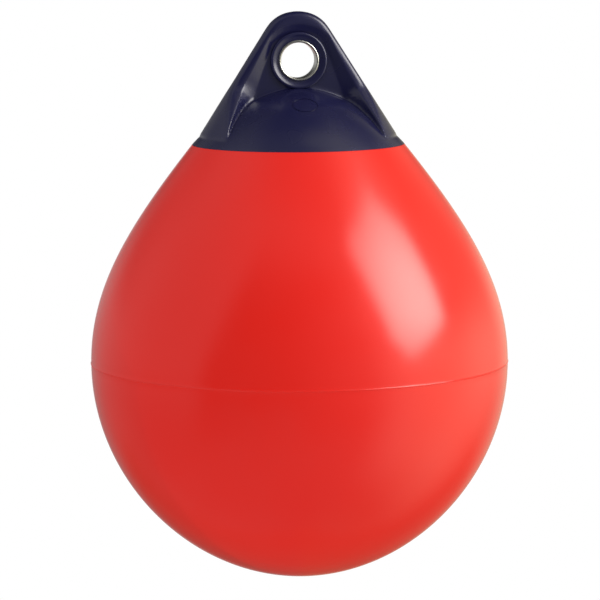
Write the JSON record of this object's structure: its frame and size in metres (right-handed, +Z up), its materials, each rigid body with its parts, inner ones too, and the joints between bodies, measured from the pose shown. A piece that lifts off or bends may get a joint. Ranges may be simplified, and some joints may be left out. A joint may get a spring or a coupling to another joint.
{
  "type": "mooring buoy",
  "caption": "Inflatable teardrop mooring buoy with a solid moulded rope hold, a metal-lined rope eye and a screw valve.",
  "frame": {"origin": "centre of the rope eye, which is what holds the buoy up or moors it", "axes": "+Z up along the buoy's axis, away from the body; Y along the eye, with the blind valve spot at -Y and the valve at +Y; X across the lug"},
  "size_m": [0.2806, 0.2806, 0.3797],
  "materials": {
    "red_vinyl": "gloss, soft inflated vinyl",
    "navy_vinyl": "semi-gloss moulded vinyl",
    "steel_sleeve": "bright rolled metal",
    "black_nylon": "moulded",
    "black_rubber": "matt"
  },
  "bodies": {
    "root": {"body": "red_vinyl", "rope_hold": "navy_vinyl", "eye_sleeve": "steel_sleeve", "valve_seat": "black_nylon", "valve_screw": "black_nylon", "valve_seal": "black_rubber"}
  },
  "joints": []
}
